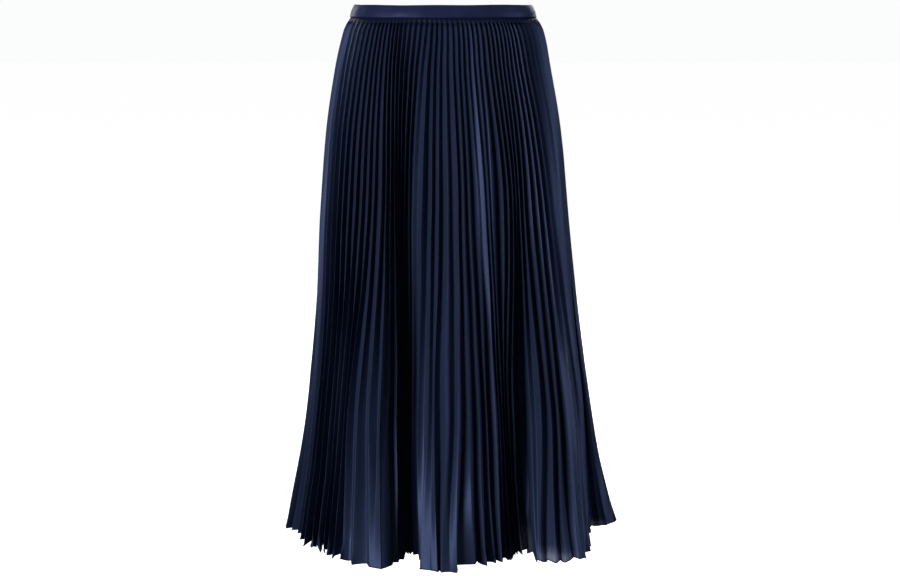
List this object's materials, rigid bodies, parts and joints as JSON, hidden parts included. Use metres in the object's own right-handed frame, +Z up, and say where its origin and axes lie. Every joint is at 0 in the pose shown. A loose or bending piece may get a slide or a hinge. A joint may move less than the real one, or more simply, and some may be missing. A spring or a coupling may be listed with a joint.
{
  "type": "pleated midi skirt",
  "caption": "Midi skirt with fine pleats that fan out from a plain fitted band, in its worn hollow form, with a concealed zip at the centre back.",
  "frame": {"origin": "middle of the waist opening, halfway up the band", "axes": "+Z up along the wearer, -Y to the front, +X to the wearer's left"},
  "size_m": [0.4656, 0.4183, 0.7499],
  "materials": {
    "skirt_satin": "dark navy pleated satin",
    "band_satin": "dark navy smooth satin",
    "zip_metal": "dark enamel"
  },
  "bodies": {
    "skirt": {"waistband": "band_satin", "skirt_front": "skirt_satin", "skirt_back_left": "skirt_satin", "skirt_back_right": "skirt_satin", "zip_slider": "zip_metal"},
    "zip_pull": {"zip_pull": "zip_metal"}
  },
  "joints": [
    {"name": "zip_pull_swing", "type": "hinge", "parent": "skirt", "child": "zip_pull", "pos_m": [0.00347, 0.09413, -0.01661], "axis": [1, 0, 0], "range_deg": [0, 165]}
  ]
}
